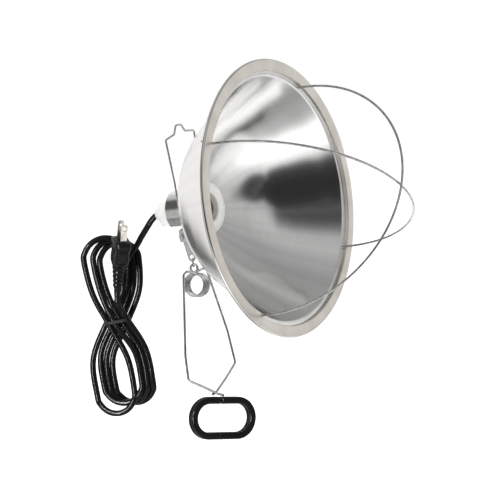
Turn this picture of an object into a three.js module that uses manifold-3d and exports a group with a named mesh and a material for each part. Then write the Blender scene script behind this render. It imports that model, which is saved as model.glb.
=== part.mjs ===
import * as THREE from 'three';
import { mergeVertices } from 'three/addons/utils/BufferGeometryUtils.js';
import { RoundedBoxGeometry } from 'three/addons/geometries/RoundedBoxGeometry.js';
import Module from 'manifold-3d';

// A clamp-on brooder lamp hanging from its wire bail. Millimetres, +Z up.
// The lamp's axis is Y and its mouth faces -Y. Shapes are drawn about the centre of the rim plane, and the
// whole fixture is then shifted so that the top of the bail is the origin.

const wasm = await Module();
wasm.setup();

// ---- driving dimensions ----
const GAP = 0.3; // clearance between neighbouring pieces

const RIM_R = 133.35; // outside of the rolled bead, a 10.5 inch reflector
const SHEET = 0.8; // spun aluminium
const BEAD_R = 1.8; // outside radius of the rolled bead
const LIP_INNER_R = 122; // where the flat lip steps back
const LEDGE_Y = 4.4; // depth of the ledge behind the lip
const LEDGE_INNER_R = 117.6;
const NECK_R = 18.8; // middle of the neck's wall
const NECK_START_Y = 104.4;
const NECK_END_Y = 120.5;

const GUARD_WIRE_R = 1.1;
const GUARD_FOOT_R = 119.8; // where the guard wires pass through the ledge
const GUARD_HOLE_R = 1.5;
const GUARD_ANGLES = [32.5, 122]; // degrees from +Z toward +X
const GUARD_HEIGHTS = [127.6, 125.1]; // in front of the rim plane

const SOCKET_FACE_Y = 85;
const SOCKET_SPLIT_Y = 121.4; // where the front and rear porcelain meet
const SOCKET_BODY_R = 18;
const BORE_R = 14.2;
const BORE_END_Y = 118;
const SOCKET_END_Y = 148;
const CORD_HOLE_R = 4.3;

const BAND_R = 20.4; // outside of the collar band
const BAND_SHEET = 0.9;
const BAND_Y = [105.5, 125.5];
const EAR_GAP = 2.5; // half of the gap between the band's two ears
const EAR_END_Z = -31;
const SCREW_Y = 120.5;
const SCREW_Z = -26;

const BAIL_WIRE_R = 1;
const BAIL_Y = 107;
const BAIL_PIVOT_Z = -6;
const BAIL_LEG_X = 22;
const BAIL_SHOULDER_X = 25.2;
const BAIL_SHOULDER_Z = 74;
const BAIL_PEAK_Z = 84;
const BAIL_SKEW = 2.4; // how much higher the +X shoulder is than the middle

const STRAP_HOLE_Y = 116.9;
const STRAP_HOLE_Z = -47.5;
const STRAP_END_R = 4.5;
const LINK_R = 4.2; // middle of the link ring's wire
const LINK_WIRE_R = 0.9;
const LINK_TURN = 33.75; // degrees between the link ring's plane and the lamp's cross plane

const CLAMP_Y = 116.5;
const CLAMP_TWIST = 22.5; // degrees that the clamp is turned about the vertical
const CLAMP_WIRE_R = 1.3;
const COIL_Z = -75.5;
const COIL_R = 11;
const COIL_PITCH = 3;
const COIL_TURNS = 4;
const EYE_R = 4;
const EYE_Z = -58.4;
const CROSSING_DEPTH = 1.7; // each arm's distance from the clamp's middle plane where the arms cross

const JAW_CENTRE = [4.1, -212.2]; // across and up, in the clamp's plane
const JAW_TILT = 13; // degrees, the +X end lower
const JAW_STRAIGHT = 17; // half length of the straight stretches
const JAW_BEND_R = 17.75;
const JAW_RADIAL = 7.2;
const JAW_DEPTH = 10;
const JAW_TOP_GAP = [-5.8, -2.8]; // the ends of the two pads along the upper straight
const JAW_BOTTOM_GAP = [-4.4, -3.8];

const CORD_R = 3.1;
const HANK_Y = 165; // the hank's plane passes through the lamp's axis here
const HANK_TURN = 56.5; // degrees that the hank's plane is turned about the vertical
const HANK_THICK = 22;
const PLUG_FACE = [-25.5, -32, -18.5]; // across, out of and up the hank's plane
const PLUG_LENGTH = 28;
const RELIEF_LENGTH = 24;
const BLADE_SPACING = 12.7;

// ---- materials ----
const material = (color, roughness, metalness) => new THREE.MeshStandardMaterial({ color, roughness, metalness });
const spunAluminium = material(0xb9bab8, 0.35, 1);
const steelWire = material(0x9c9c9a, 0.35, 1);
const zinc = material(0xc4c3bd, 0.3, 1);
const springSteel = material(0x8f9092, 0.3, 1);
const porcelain = material(0xeeece4, 0.25, 0);
const brass = material(0xb39a54, 0.35, 1);
const blackVinyl = material(0x141415, 0.3, 0);
const cordJacket = material(0x1b1c1e, 0.5, 0);
const tiePlastic = material(0x101012, 0.55, 0);
const nickel = material(0xb9b4a6, 0.3, 1);

// ---- geometry helpers ----
const radians = THREE.MathUtils.degToRad;
const vec = (x, y, z) => new THREE.Vector3(x, y, z);

// A straight-line path through given points, so that a wire has a ring of vertices at each of them.
class PointPath extends THREE.Curve {
  constructor(points) {
    super();
    this.points = points;
  }

  getUtoTmapping(u) {
    return u;
  }

  getPoint(t, target = new THREE.Vector3()) {
    const place = t * (this.points.length - 1);
    const index = Math.min(Math.floor(place), this.points.length - 2);
    return target.lerpVectors(this.points[index], this.points[index + 1], place - index);
  }
}

// Points along straight lines between corners, with each corner rounded to the given radius.
function roundedPath(corners, radius, perCorner = 4) {
  const points = [corners[0].clone()];
  for (let i = 1; i < corners.length - 1; i += 1) {
    const back = corners[i - 1].clone().sub(corners[i]).normalize();
    const ahead = corners[i + 1].clone().sub(corners[i]).normalize();
    const half = back.angleTo(ahead) / 2;
    const reach = radius / Math.tan(half);
    const centre = back.clone().add(ahead).setLength(radius / Math.sin(half)).add(corners[i]);
    const first = back.clone().multiplyScalar(reach).add(corners[i]).sub(centre);
    const last = ahead.clone().multiplyScalar(reach).add(corners[i]).sub(centre);
    const sweep = first.angleTo(last);
    for (let k = 0; k <= perCorner; k += 1) {
      const turned = (sweep * k) / perCorner;
      const a = Math.sin(sweep - turned) / Math.sin(sweep);
      const b = Math.sin(turned) / Math.sin(sweep);
      points.push(first.clone().multiplyScalar(a).addScaledVector(last, b).add(centre));
    }
  }
  points.push(corners[corners.length - 1].clone());
  return points;
}

// One closed skin facing out: shared vertices, no slivers, positive volume.
function solid(geometry) {
  const source = geometry.clone();
  source.deleteAttribute('normal');
  source.deleteAttribute('uv');
  const merged = mergeVertices(source, 1e-3);
  const at = merged.attributes.position;
  const corner = (i) => new THREE.Vector3().fromBufferAttribute(at, i);
  const kept = [];
  let volume = 0;
  for (let i = 0; i < merged.index.count; i += 3) {
    const [a, b, c] = [0, 1, 2].map((k) => merged.index.getX(i + k));
    if (a !== b && b !== c && c !== a) {
      kept.push([a, b, c]);
      volume += corner(a).dot(corner(b).cross(corner(c)));
    }
  }
  merged.setIndex(kept.flatMap(([a, b, c]) => (volume < 0 ? [a, c, b] : [a, b, c])));
  return merged;
}

function toManifold(geometry) {
  const closed = solid(geometry);
  const vertProperties = new Float32Array(closed.attributes.position.array);
  const triVerts = new Uint32Array(closed.index.array);
  return new wasm.Manifold(new wasm.Mesh({ numProp: 3, vertProperties, triVerts }));
}

function fromManifold(body) {
  const mesh = body.getMesh();
  const geometry = new THREE.BufferGeometry();
  geometry.setAttribute('position', new THREE.BufferAttribute(Float32Array.from(mesh.vertProperties), 3));
  geometry.setIndex(new THREE.BufferAttribute(Uint32Array.from(mesh.triVerts), 1));
  return geometry;
}

const cut = (base, tools) => fromManifold(tools.reduce((body, tool) => body.subtract(toManifold(tool)),
  toManifold(base)));
const join = (base, others) => fromManifold(others.reduce((body, other) => body.add(toManifold(other)),
  toManifold(base)));

function alongPath(outline, points, curveSegments = 4) {
  const path = new PointPath(points);
  const settings = { steps: points.length - 1, extrudePath: path, curveSegments, bevelEnabled: false };
  return solid(new THREE.ExtrudeGeometry(outline, settings));
}

// A round wire or cord through the points; curveSegments is half the number of its sides.
function wire(points, radius, curveSegments = 4) {
  const circle = new THREE.Shape();
  circle.absarc(0, 0, radius, 0, 2 * Math.PI);
  return alongPath(circle, points, curveSegments);
}

const turned = (profile, segments) => solid(new THREE.LatheGeometry(profile, segments));

// A plate standing in the YZ plane: the outline's x is Y and its y is Z.
function plateAcrossX(outline, thickness, curveSegments = 8) {
  const geometry = new THREE.ExtrudeGeometry(outline, { depth: thickness, curveSegments, bevelEnabled: false });
  geometry.translate(0, 0, -thickness / 2);
  geometry.rotateY(Math.PI / 2);
  geometry.rotateX(Math.PI / 2);
  return geometry;
}

// A cylinder along X or Y, from one coordinate to another.
function rod(axis, radius, from, to, sides = 16) {
  const geometry = new THREE.CylinderGeometry(radius, radius, to - from, sides);
  geometry.translate(0, (from + to) / 2, 0);
  return axis === 'x' ? geometry.rotateZ(-Math.PI / 2) : geometry;
}

function mesh(name, geometry, surface) {
  const piece = new THREE.Mesh(geometry, surface);
  piece.name = name;
  return piece;
}

// ---- reflector ----
const flat = (r, y) => new THREE.Vector2(r, y);

// Both faces of a sheet that follows a centre line, as one closed outline.
function sheetOutline(line, thickness) {
  const side = (sign) => line.map((point, i) => {
    const before = line[Math.max(i - 1, 0)];
    const after = line[Math.min(i + 1, line.length - 1)];
    const first = (i > 0 ? point.clone().sub(before) : after.clone().sub(point)).normalize();
    const second = (i < line.length - 1 ? after.clone().sub(point) : first.clone()).normalize();
    const normal = flat(-first.y - second.y, first.x + second.x).normalize();
    const miter = 1 / Math.max(0.6, normal.dot(flat(-first.y, first.x)));
    return point.clone().addScaledVector(normal, (sign * miter * thickness) / 2);
  });
  const outline = [...side(1), ...side(-1).reverse()];
  return [...outline, outline[0].clone()];
}

function reflectorLine() {
  const beadCentre = flat(RIM_R - BEAD_R, BEAD_R);
  const beadLine = BEAD_R - SHEET / 2;
  const bead = [];
  for (let degrees = 110; degrees >= -90; degrees -= 50) {
    const angle = radians(degrees);
    bead.push(flat(Math.cos(angle), Math.sin(angle)).multiplyScalar(beadLine).add(beadCentre));
  }
  const bell = new THREE.SplineCurve([
    flat(LEDGE_INNER_R, LEDGE_Y),
    flat(112.5, 13),
    flat(96.8, 39),
    flat(88, 52),
    flat(77.5, 65),
    flat(63, 78),
    flat(43.4, 91),
    flat(27, 99.6),
    flat(NECK_R, NECK_START_Y),
  ]);
  return [
    ...bead,
    flat(LIP_INNER_R, SHEET / 2),
    flat(LIP_INNER_R, LEDGE_Y),
    ...bell.getSpacedPoints(13),
    flat(NECK_R, NECK_END_Y),
  ];
}

function reflector() {
  const holes = GUARD_ANGLES.flatMap((degrees) => [0, 180].map((half) => {
    const angle = radians(degrees + half);
    const hole = rod('y', GUARD_HOLE_R, LEDGE_Y - 2, LEDGE_Y + 2.6, 12);
    return hole.translate(GUARD_FOOT_R * Math.sin(angle), 0, GUARD_FOOT_R * Math.cos(angle));
  }));
  return mesh('reflector_bowl', cut(turned(sheetOutline(reflectorLine(), SHEET), 44), holes), spunAluminium);
}

// ---- wire guard: two crossing hoops whose ends pass through the ledge and hook outward behind it ----
function guardHoop(name, degrees, height) {
  const hookY = LEDGE_Y + SHEET / 2 + GUARD_WIRE_R + 2.4;
  const hook = (side) => roundedPath([
    vec(0, LEDGE_Y - 4, side * GUARD_FOOT_R),
    vec(0, hookY, side * GUARD_FOOT_R),
    vec(0, hookY, side * (GUARD_FOOT_R + 7)),
  ], 2.4, 3);
  const dome = [];
  const steps = 24;
  for (let i = 1; i < steps; i += 1) {
    const angle = (Math.PI * i) / steps;
    dome.push(vec(0, -height * Math.sin(angle), GUARD_FOOT_R * Math.cos(angle)));
  }
  const points = [...hook(1).reverse(), ...dome, ...hook(-1)];
  const hoop = mesh(name, wire(points, GUARD_WIRE_R), steelWire);
  hoop.rotation.y = radians(degrees);
  return hoop;
}

// ---- porcelain socket ----
function socketFront() {
  const ridge = 0.7;
  const profile = [
    flat(0, BORE_END_Y),
    flat(BORE_R, BORE_END_Y),
    flat(BORE_R, SOCKET_FACE_Y + 1),
    flat(BORE_R + 1, SOCKET_FACE_Y),
    flat(22, SOCKET_FACE_Y),
    flat(22.6, SOCKET_FACE_Y - ridge),
    flat(23.8, SOCKET_FACE_Y - ridge),
    flat(24.6, SOCKET_FACE_Y),
    flat(26, SOCKET_FACE_Y + 1.4),
    flat(26, 93.5),
    flat(21.5, 98.6),
    flat(SOCKET_BODY_R, 100.6),
    flat(SOCKET_BODY_R, SOCKET_SPLIT_Y),
    flat(0, SOCKET_SPLIT_Y),
  ];
  return mesh('socket_front', turned(profile, 32), porcelain);
}

function socketRear() {
  const pocketR = 12.5;
  const pocketEnd = SOCKET_SPLIT_Y + 8;
  const startY = SOCKET_SPLIT_Y + GAP;
  const shoulder = new THREE.QuadraticBezierCurve(flat(18.3, 133.5), flat(18, 138.5), flat(10, 138.8)).getPoints(5);
  const profile = [
    flat(pocketR, startY),
    flat(SOCKET_BODY_R, startY),
    ...shoulder,
    flat(9, 140),
    flat(8.4, SOCKET_END_Y - 1),
    flat(7.4, SOCKET_END_Y),
    flat(CORD_HOLE_R, SOCKET_END_Y),
    flat(CORD_HOLE_R, pocketEnd),
    flat(pocketR, pocketEnd),
    flat(pocketR, startY),
  ];
  return mesh('socket_rear', turned(profile, 32), porcelain);
}

function screwShell() {
  const turns = 5;
  const startY = SOCKET_FACE_Y + 6;
  const pitch = 3.6; // close to the 7 threads per inch of a medium screw base
  const wall = 0.5;
  const line = [];
  for (let i = 0; i <= turns * 3; i += 1) {
    line.push(flat(BORE_R - 0.95 - 0.35 * (i % 3 === 1 ? 1 : 0), startY + (i * pitch) / 3));
  }
  return mesh('screw_shell', turned(sheetOutline(line, wall), 20), brass);
}

function centreContact() {
  const tongue = new THREE.Shape();
  const seatY = BORE_END_Y - GAP;
  tongue.moveTo(seatY, -10);
  tongue.lineTo(seatY, -4);
  tongue.lineTo(seatY - 3.4, 3);
  tongue.lineTo(seatY - 4.1, 2.8);
  tongue.lineTo(seatY - 0.7, -4.4);
  tongue.lineTo(seatY - 0.7, -10);
  return mesh('centre_contact', solid(plateAcrossX(tongue, 6)), brass);
}

function terminalScrew(name, x) {
  const startY = SOCKET_SPLIT_Y + GAP;
  const screw = mesh(name, solid(rod('y', 3, startY, startY + 2.2)), brass);
  screw.position.x = x;
  return screw;
}

// ---- collar band that clamps the reflector's neck on the socket ----
function collarBand() {
  const inner = BAND_R - BAND_SHEET;
  const earOuter = EAR_GAP + BAND_SHEET;
  const outerAngle = Math.asin(earOuter / BAND_R);
  const innerAngle = Math.asin(EAR_GAP / inner);
  const down = -Math.PI / 2;
  const outline = new THREE.Shape();
  outline.moveTo(earOuter, EAR_END_Z);
  outline.absarc(0, 0, BAND_R, down + outerAngle, down + 2 * Math.PI - outerAngle, false);
  outline.lineTo(-earOuter, EAR_END_Z);
  outline.lineTo(-EAR_GAP, EAR_END_Z);
  outline.absarc(0, 0, inner, down + 2 * Math.PI - innerAngle, down + innerAngle, true);
  outline.lineTo(EAR_GAP, EAR_END_Z);
  const settings = { depth: BAND_Y[1] - BAND_Y[0], curveSegments: 18, bevelEnabled: false };
  const band = new THREE.ExtrudeGeometry(outline, settings);
  band.rotateX(Math.PI / 2);
  band.translate(0, BAND_Y[1], 0);
  const screwHole = rod('x', 2.4, -6, 6, 12).translate(0, SCREW_Y, SCREW_Z);
  const pivotHole = rod('x', BAIL_WIRE_R + GAP, -24, 24, 12).translate(0, BAIL_Y, BAIL_PIVOT_Z);
  return mesh('collar_band', cut(band, [screwHole, pivotHole]), zinc);
}

function collarScrew() {
  const headStart = EAR_GAP + BAND_SHEET + GAP;
  const shank = rod('x', 1.9, -8, headStart + 1, 12);
  const head = rod('x', 4, headStart, headStart + 2.2, 16);
  const screw = mesh('collar_screw', join(shank, [head]), zinc);
  screw.position.set(0, SCREW_Y, SCREW_Z);
  return screw;
}

function collarNut() {
  const start = -(EAR_GAP + BAND_SHEET + GAP);
  const body = cut(rod('x', 4, start - 2.6, start, 6), [rod('x', 1.9 + GAP, start - 4, start + 1, 12)]);
  const nut = mesh('collar_nut', body, zinc);
  nut.position.set(0, SCREW_Y, SCREW_Z);
  return nut;
}

// ---- hanging bail, hooked into the band's two pivot holes ----
function hangBail() {
  const tipX = 18.9;
  const skewed = (x, z) => vec(x, BAIL_Y, z + (BAIL_SKEW * x) / BAIL_SHOULDER_X);
  const legs = (side) => [
    vec(side * tipX, BAIL_Y, BAIL_PIVOT_Z),
    vec(side * BAIL_LEG_X, BAIL_Y, BAIL_PIVOT_Z),
    vec(side * BAIL_LEG_X, BAIL_Y, 30),
    skewed(side * BAIL_SHOULDER_X, BAIL_SHOULDER_Z),
    skewed(side * 9.5, BAIL_SHOULDER_Z + 2.4),
    vec(side * 4.6, BAIL_Y, BAIL_PEAK_Z),
  ];
  const path = roundedPath([...legs(-1), ...legs(1).reverse()], 2.2, 3);
  return mesh('hang_bail', wire(path, BAIL_WIRE_R), steelWire);
}

// ---- strap and link ring that the clamp hangs from ----
function clampStrap() {
  const lean = Math.atan2(SCREW_Y - STRAP_HOLE_Y, SCREW_Z - STRAP_HOLE_Z);
  const outline = new THREE.Shape();
  outline.absarc(SCREW_Y, SCREW_Z, STRAP_END_R, -lean, Math.PI - lean, false);
  outline.absarc(STRAP_HOLE_Y, STRAP_HOLE_Z, STRAP_END_R, Math.PI - lean, 2 * Math.PI - lean, false);
  const holes = [
    rod('x', 2.4, -3, 3, 12).translate(0, SCREW_Y, SCREW_Z),
    rod('x', 2.3, -3, 3, 12).translate(0, STRAP_HOLE_Y, STRAP_HOLE_Z),
  ];
  return mesh('clamp_strap', cut(plateAcrossX(outline, 1.2), holes), zinc);
}

function linkRing() {
  const ring = solid(new THREE.TorusGeometry(LINK_R, LINK_WIRE_R, 8, 24));
  ring.rotateX(Math.PI / 2);
  const link = mesh('link_ring', ring, steelWire);
  link.position.set(0, CLAMP_Y, EYE_Z + EYE_R - CLAMP_WIRE_R - LINK_WIRE_R - GAP + LINK_R);
  link.rotation.z = radians(LINK_TURN);
  return link;
}

// ---- spring clamp, drawn in its own XZ plane; -Y is its front ----
function clampCoil() {
  const perTurn = 14;
  const total = perTurn * COIL_TURNS;
  const helix = [];
  for (let i = 0; i <= total; i += 1) {
    const angle = (2 * Math.PI * i) / perTurn;
    const depth = COIL_PITCH * (i / perTurn - COIL_TURNS / 2);
    helix.push(vec(COIL_R * Math.sin(angle), depth, COIL_Z + COIL_R * Math.cos(angle)));
  }
  const eye = new THREE.TorusGeometry(EYE_R, CLAMP_WIRE_R, 8, 20);
  eye.rotateX(Math.PI / 2);
  eye.translate(0, 0, EYE_Z);
  return mesh('clamp_coil', join(wire(helix, CLAMP_WIRE_R), [eye]), springSteel);
}

// side is -1 for the arm on the -X side, in front, and 1 for the arm on the +X side, behind.
function clampArm(name, side) {
  const coilEnd = (COIL_PITCH * COIL_TURNS) / 2;
  const top = COIL_Z + COIL_R;
  const shape = side < 0
    ? [[-16.4, -57.6], [-28.9, -141], [-29.4, -166], [-13.1, -176.3], [1.8, -186.5], [8.8, -189.7]]
    : [[17.6, -60.6], [29.3, -128], [31.6, -161.6], [16.4, -174.9], [2.6, -185.4], [-2.5, -186.8]];
  const depthAt = (z) => {
    const along = THREE.MathUtils.clamp((z - COIL_Z) / (-187 - COIL_Z), 0, 1);
    return side * THREE.MathUtils.lerp(coilEnd, CROSSING_DEPTH, along);
  };
  const corners = [vec(side * GAP, side * coilEnd, top)];
  corners.push(...shape.map(([x, z]) => vec(x, depthAt(z), z)));
  return mesh(name, wire(roundedPath(corners, 5, 4), CLAMP_WIRE_R), springSteel);
}

// A padded jaw: half of a long ring whose straights run along the jaw's own X.
function jawPad(name, side) {
  const arcSteps = 12;
  const bend = [];
  for (let i = 0; i <= arcSteps; i += 1) {
    const angle = Math.PI * (0.5 - i / arcSteps);
    bend.push(vec(side * (JAW_STRAIGHT + JAW_BEND_R * Math.cos(angle)), 0, JAW_BEND_R * Math.sin(angle)));
  }
  const index = side < 0 ? 0 : 1;
  const path = [
    vec(JAW_TOP_GAP[index], 0, JAW_BEND_R),
    ...bend,
    vec(JAW_BOTTOM_GAP[index], 0, -JAW_BEND_R),
  ];
  const half = [JAW_RADIAL / 2, JAW_DEPTH / 2];
  const corner = 2.6;
  const groove = 0.9;
  const section = new THREE.Shape();
  section.moveTo(half[0] - groove, 0);
  for (const [sx, sy] of [[1, 1], [-1, 1], [-1, -1], [1, -1]]) {
    if (sx * sy > 0) {
      section.lineTo(sx * half[0], sy * 1.4);
      section.lineTo(sx * half[0], sy * (half[1] - corner));
      section.lineTo(sx * (half[0] - corner * 0.4), sy * (half[1] - corner * 0.4));
      section.lineTo(sx * (half[0] - corner), sy * half[1]);
    } else {
      section.lineTo(sx * (half[0] - corner), sy * half[1]);
      section.lineTo(sx * (half[0] - corner * 0.4), sy * (half[1] - corner * 0.4));
      section.lineTo(sx * half[0], sy * (half[1] - corner));
      section.lineTo(sx * half[0], sy * 1.4);
      section.lineTo(sx * (half[0] - groove), 0);
    }
  }
  const pad = mesh(name, alongPath(section, path), blackVinyl);
  pad.position.set(JAW_CENTRE[0], 0, JAW_CENTRE[1]);
  pad.rotation.y = radians(JAW_TILT);
  return pad;
}

function springClamp() {
  const clamp = new THREE.Group();
  clamp.position.y = CLAMP_Y;
  clamp.rotation.z = -radians(CLAMP_TWIST);
  clamp.add(clampCoil());
  clamp.add(clampArm('clamp_arm_left', -1));
  clamp.add(clampArm('clamp_arm_right', 1));
  clamp.add(jawPad('jaw_pad_left', -1));
  clamp.add(jawPad('jaw_pad_right', 1));
  return clamp;
}

// ---- cord: lead, folded hank with its tie, tail and plug ----
// From inside the socket's rear, straight out and then down toward the hank.
const LEAD_ROUTE = [
  [0, 134, 0], [0, 143, 0], [0, 147.9, -0.6],
  [-0.8, 152.1, -2.2], [-1.6, 155.7, -4.7], [-2.4, 159, -7.8],
  [-3.6, 166, -15.4], [-4.8, 172, -22], [-5.6, 176, -27],
];

function cordLead() {
  const points = LEAD_ROUTE.map(([x, y, z]) => vec(x, y, z));
  return mesh('cord_lead', wire(points, CORD_R, 5), cordJacket);
}

function ellipseDisc(x, z, halfWidth, halfHeight) {
  const outline = new THREE.Shape();
  outline.absellipse(x, z, halfWidth, halfHeight, 0, 2 * Math.PI);
  const disc = new THREE.ExtrudeGeometry(outline, { depth: HANK_THICK, curveSegments: 18, bevelEnabled: false });
  return disc.translate(0, 0, -HANK_THICK / 2).rotateX(Math.PI / 2);
}

const WAIST = { x: -45.3, z: -101, halfWidth: 13 };

function cordHank() {
  const upper = ellipseDisc(-41.4, -57, 30.6, 44.5);
  const lower = ellipseDisc(-49.8, -149, 32.7, 48);
  const waist = new THREE.BoxGeometry(2 * WAIST.halfWidth, HANK_THICK, 20).translate(WAIST.x, 0, WAIST.z);
  return mesh('cord_hank', join(upper, [lower, waist]), cordJacket);
}

function cordTie() {
  const wall = 1.2;
  const height = 3;
  const halfDepth = HANK_THICK / 2 + GAP;
  const halfWidth = WAIST.halfWidth + GAP;
  const outside = new THREE.BoxGeometry(2 * (halfWidth + wall), 2 * (halfDepth + wall), height);
  const inside = new THREE.BoxGeometry(2 * halfWidth, 2 * halfDepth, height + 2);
  const tie = mesh('cord_tie', cut(outside, [inside]), tiePlastic);
  tie.position.set(WAIST.x, 0, WAIST.z);
  return tie;
}

// The plug's own frame: Z runs out of its face along the blades, X from one blade to the other.
function plugGroup() {
  const plug = new THREE.Group();
  const up = vec(0.27, -0.31, 0.95).normalize();
  const apart = vec(0.34, -0.94, 0).cross(up).cross(up).negate().normalize();
  const across = up.clone().cross(apart);
  plug.quaternion.setFromRotationMatrix(new THREE.Matrix4().makeBasis(apart, across, up));
  plug.position.set(...PLUG_FACE);

  const shell = new RoundedBoxGeometry(25, 17, PLUG_LENGTH, 2, 4).translate(0, 0, -PLUG_LENGTH / 2);
  const reliefEnd = -(PLUG_LENGTH + RELIEF_LENGTH);
  const profile = [flat(0, reliefEnd)];
  const beads = 5;
  const beadPitch = RELIEF_LENGTH / beads;
  for (let i = 0; i < beads; i += 1) {
    const y = reliefEnd + i * beadPitch;
    const radius = 4.4 + 0.55 * i;
    profile.push(flat(radius, y), flat(radius, y + beadPitch * 0.65), flat(radius - 0.9, y + beadPitch * 0.72));
    profile.push(flat(radius - 0.9, y + beadPitch));
  }
  profile.push(flat(0, -PLUG_LENGTH + 3));
  const relief = turned(profile, 16).rotateX(Math.PI / 2);
  plug.add(mesh('plug_body', join(shell, [relief]), blackVinyl));

  [-1, 1].forEach((side, index) => {
    const blade = new THREE.BoxGeometry(1.5, 6.3, 17.5).translate(0, 0, 17.5 / 2 + GAP);
    const hole = rod('x', 1.5, -3, 3, 12).translate(0, 0, 13);
    const piece = mesh(`plug_blade_${index + 1}`, cut(blade, [hole]), nickel);
    piece.position.x = (side * BLADE_SPACING) / 2;
    plug.add(piece);
  });
  return { plug, reliefEnd, up };
}

function hankGroup() {
  const hank = new THREE.Group();
  hank.position.y = HANK_Y;
  hank.rotation.z = -radians(HANK_TURN);
  const { plug, reliefEnd, up } = plugGroup();
  const start = vec(...PLUG_FACE).addScaledVector(up, reliefEnd - GAP);
  const tail = [
    start,
    start.clone().add(vec(-0.9, 1, -4)),
    start.clone().add(vec(-1.6, 1.5, -10)),
    start.clone().add(vec(-2.2, 1.7, -16)),
    start.clone().add(vec(-3, 1.7, -22)),
  ];
  hank.add(cordHank(), cordTie(), mesh('cord_tail', wire(tail, CORD_R, 5), cordJacket), plug);
  return hank;
}

// ---- assembly ----
const fixture = new THREE.Group();
fixture.position.set(0, -BAIL_Y, -BAIL_PEAK_Z);
fixture.add(reflector());
GUARD_ANGLES.forEach((degrees, i) => fixture.add(guardHoop(`guard_hoop_${i + 1}`, degrees, GUARD_HEIGHTS[i])));
fixture.add(socketFront(), socketRear(), screwShell(), centreContact());
fixture.add(terminalScrew('terminal_screw_1', -7), terminalScrew('terminal_screw_2', 7));
fixture.add(collarBand(), collarScrew(), collarNut(), hangBail());
fixture.add(clampStrap(), linkRing(), springClamp(), cordLead(), hankGroup());

const lamp = new THREE.Group();
lamp.add(fixture);

export default lamp;
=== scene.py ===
import math

import bmesh
import bpy
from mathutils import Matrix, Vector


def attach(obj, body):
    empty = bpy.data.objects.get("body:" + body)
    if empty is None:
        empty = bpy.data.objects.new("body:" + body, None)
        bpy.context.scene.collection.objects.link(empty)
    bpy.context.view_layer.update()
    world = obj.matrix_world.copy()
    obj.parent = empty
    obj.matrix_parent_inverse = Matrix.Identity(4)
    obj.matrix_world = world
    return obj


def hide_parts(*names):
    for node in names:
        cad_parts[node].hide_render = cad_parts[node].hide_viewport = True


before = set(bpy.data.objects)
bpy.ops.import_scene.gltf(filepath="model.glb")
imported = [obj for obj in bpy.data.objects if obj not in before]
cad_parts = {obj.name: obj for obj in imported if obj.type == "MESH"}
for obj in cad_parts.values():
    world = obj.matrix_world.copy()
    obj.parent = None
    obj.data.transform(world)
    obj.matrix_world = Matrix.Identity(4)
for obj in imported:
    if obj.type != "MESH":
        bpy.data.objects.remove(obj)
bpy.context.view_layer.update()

# ---------------------------------------------------------------- places
# Shapes are drawn in millimetres about the centre of the lamp's rim plane: the lamp's axis is Y and its
# mouth faces -Y. The row's origin is the top of the bail, so fixture() turns those places into row metres.
BAIL_PEAK = Vector((0, 107, 84))
FIXTURE = Matrix.Scale(0.001, 4) @ Matrix.Translation(-BAIL_PEAK)
CLAMP_Y = 116.5
CLAMP = FIXTURE @ Matrix.Translation((0, CLAMP_Y, 0)) @ Matrix.Rotation(math.radians(-22.5), 4, "Z")
HANK = FIXTURE @ Matrix.Translation((0, 165, 0)) @ Matrix.Rotation(math.radians(-56.5), 4, "Z")
JAWS = CLAMP @ Matrix.Translation((4.1, 0, -212.2)) @ Matrix.Rotation(math.radians(13), 4, "Y")

RIM_R = 133.35
SHEET = 0.8
BEAD_R = 1.8
LIP_INNER_R = 122
LEDGE_Y = 4.4
LEDGE_INNER_R = 117.6
NECK_R = 18.8
NECK_START_Y = 104.4
NECK_END_Y = 120.5
GUARD_FOOT_R = 119.8
GUARDS = ((32.5, 127.6), (122, 125.1))  # angle from +Z toward +X in degrees, height before the rim
CORD_D = 6.2
PLAY = 0.3  # between pieces that touch in the real object
CLAMP_WIRE_R = 1.3
COIL_Z = -75.5
COIL_R = 11
COIL_TURNS = 4
COIL_PITCH = 3
EYE_Z = -58.4
EYE_R = 4
LINK_R = 4.2
LINK_WIRE_R = 0.9
LINK_TURN = 33.75  # degrees about the vertical
CROSSING_Z = -187  # where the two arms cross
CROSSING_DEPTH = 1.7
JAW_STRAIGHT = 17
JAW_BEND_R = 17.75


# ---------------------------------------------------------------- camera
def make_camera():
    azimuth, elevation, roll = math.radians(-56.47), math.radians(5), math.radians(-9.284)
    back = Vector((math.sin(azimuth) * math.cos(elevation), -math.cos(azimuth) * math.cos(elevation),
                   math.sin(elevation)))
    level = Vector((math.cos(azimuth), math.sin(azimuth), 0))
    upright = back.cross(level)
    right = math.cos(roll) * level + math.sin(roll) * upright
    up = math.cos(roll) * upright - math.sin(roll) * level
    aim = FIXTURE @ (Vector((0, 50, -50)) + 1.63 * right + 3.93 * up)
    data = bpy.data.cameras.new("camera")
    data.sensor_width = 36
    data.lens = 118.66
    data.clip_end = 30
    camera = bpy.data.objects.new("camera", data)
    turn = Matrix((right, up, back)).transposed().to_4x4()
    camera.matrix_world = Matrix.Translation(aim + 1.6 * back) @ turn
    bpy.context.scene.collection.objects.link(camera)
    bpy.context.scene.camera = camera
    return back


TO_CAMERA = make_camera()


# ---------------------------------------------------------------- materials
def new_material(name, color, roughness, metallic=0.0, **settings):
    material = bpy.data.materials.new(name)
    material.use_nodes = True
    shader = material.node_tree.nodes["Principled BSDF"]
    shader.inputs["Base Color"].default_value = (*color, 1)
    shader.inputs["Roughness"].default_value = roughness
    shader.inputs["Metallic"].default_value = metallic
    for socket, value in settings.items():
        shader.inputs[socket.replace("_", " ")].default_value = value
    return material


def node(material, kind, **inputs):
    made = material.node_tree.nodes.new(kind)
    for socket, value in inputs.items():
        made.inputs[socket.replace("_", " ")].default_value = value
    return made


def link(material, a, out, b, into):
    material.node_tree.links.new(a.outputs[out], b.inputs[into])


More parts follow.
